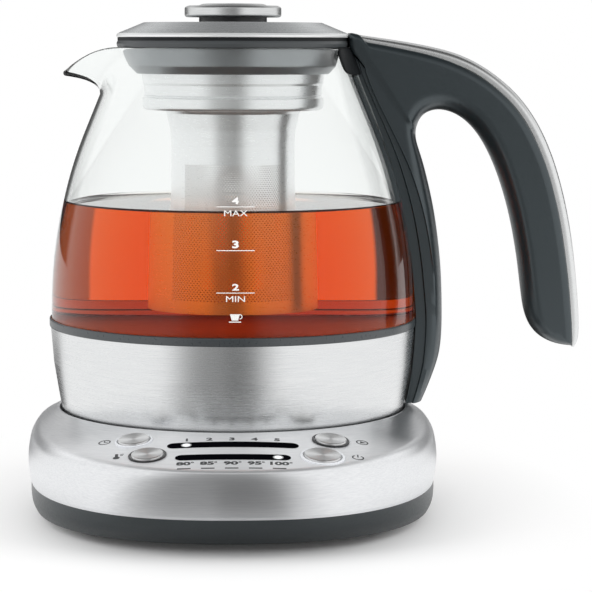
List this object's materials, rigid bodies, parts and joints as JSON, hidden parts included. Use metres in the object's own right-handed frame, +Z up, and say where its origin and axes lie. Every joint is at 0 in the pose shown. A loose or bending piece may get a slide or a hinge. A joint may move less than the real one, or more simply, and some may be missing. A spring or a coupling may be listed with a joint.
{
  "type": "automatic tea maker",
  "caption": "Glass tea kettle with a lift-out infuser basket, steel lid and looped handle, on an electric power base with a sloped button panel.",
  "frame": {"origin": "on the jug's axis, at the level of the counter that the feet stand on", "axes": "+X towards the handle, +Y towards the back, +Z up; the control panel faces -Y and the spout points to -X"},
  "size_m": [0.2376, 0.208, 0.2171],
  "materials": {
    "brushed_steel": "brushed, satin",
    "lid_steel": "circular brushed",
    "basket_steel": "satin",
    "heater_steel": "satin",
    "trim_steel": "brushed along its length",
    "button_metal": "spun",
    "slate_plastic": "soft matt",
    "ring_plastic": "satin",
    "collar_plastic": "satin",
    "silicone": "matt silicone",
    "rubber_foot": "matt",
    "black_plastic": "fine texture",
    "bezel_plastic": "gloss",
    "light_ring": "frosted",
    "window_lens": "gloss",
    "led_guide": "clear",
    "clear_glass": "clear",
    "circuit_board": "solder mask",
    "switch_body": "moulded",
    "relay_case": "moulded",
    "transformer_core": "laminated",
    "can_aluminium": "drawn can",
    "contact_brass": "bright",
    "zinc_screw": "plated"
  },
  "bodies": {
    "base": {"base_cover": "brushed_steel", "base_skirt": "slate_plastic", "bottom_plate": "black_plastic", "feet": "rubber_foot", "housing_screws": "zinc_screw", "cord_gland": "black_plastic", "seat_plate": "black_plastic", "connector_housing": "black_plastic", "contact_post": "black_plastic", "contact_ring": "contact_brass", "contact_pin": "contact_brass", "time_window": "window_lens", "temperature_window": "window_lens", "time_leds": "led_guide", "temperature_leds": "led_guide", "button_bezels": "bezel_plastic", "start_light_ring": "light_ring", "control_board": "circuit_board", "tact_switches": "switch_body", "board_posts": "zinc_screw", "power_board": "circuit_board", "power_standoffs": "zinc_screw", "relay": "relay_case", "transformer": "transformer_core", "capacitor": "can_aluminium"},
    "steep_time_button": {"steep_time_button": "button_metal"},
    "temperature_button": {"temperature_button": "button_metal"},
    "timer_button": {"timer_button": "button_metal"},
    "start_button": {"start_button": "button_metal"},
    "swivel": {"connector_shutter": "black_plastic"},
    "jug": {"glass_jug": "clear_glass", "glass_ring": "ring_plastic", "glass_gasket": "silicone", "heating_plate": "heater_steel", "heating_element": "can_aluminium", "temperature_sensor": "heater_steel", "sensor_carrier": "black_plastic", "jug_band": "brushed_steel", "jug_underside": "black_plastic", "jug_connector": "black_plastic", "handle_bracket": "slate_plastic", "neck_pad": "slate_plastic", "handle_body": "slate_plastic", "handle_trim": "trim_steel"},
    "basket": {"basket_seal": "silicone", "basket_collar": "collar_plastic", "basket_cup": "basket_steel", "strainer": "basket_steel", "strainer_floor": "basket_steel"},
    "lid": {"lid_cover": "lid_steel", "lid_inner": "black_plastic", "knob_neck": "black_plastic", "knob_cap": "lid_steel", "knob_screw": "zinc_screw"}
  },
  "joints": [
    {"name": "steep_time_press", "type": "slide", "parent": "base", "child": "steep_time_button", "axis": [0.0918, 0.183, -0.9788], "range_m": [0, 0.0008], "stiffness_N_per_m": 400},
    {"name": "temperature_press", "type": "slide", "parent": "base", "child": "temperature_button", "axis": [0.0673, 0.1934, -0.9788], "range_m": [0, 0.0008], "stiffness_N_per_m": 400},
    {"name": "timer_press", "type": "slide", "parent": "base", "child": "timer_button", "axis": [-0.0904, 0.1837, -0.9788], "range_m": [0, 0.0008], "stiffness_N_per_m": 400},
    {"name": "start_press", "type": "slide", "parent": "base", "child": "start_button", "axis": [-0.0695, 0.1926, -0.9788], "range_m": [0, 0.0008], "stiffness_N_per_m": 400},
    {"name": "jug_swivel", "type": "hinge", "parent": "base", "child": "swivel", "pos_m": [0, 0, 0], "axis": [0, 0, 1], "continuous": true},
    {"name": "jug_lift", "type": "slide", "parent": "swivel", "child": "jug", "axis": [0, 0, 1], "range_m": [0, 0.1]},
    {"name": "basket_lift", "type": "slide", "parent": "jug", "child": "basket", "axis": [0, 0, 1], "range_m": [0, 0.12]},
    {"name": "lid_lift", "type": "slide", "parent": "basket", "child": "lid", "axis": [0, 0, 1], "range_m": [0, 0.05]}
  ]
}
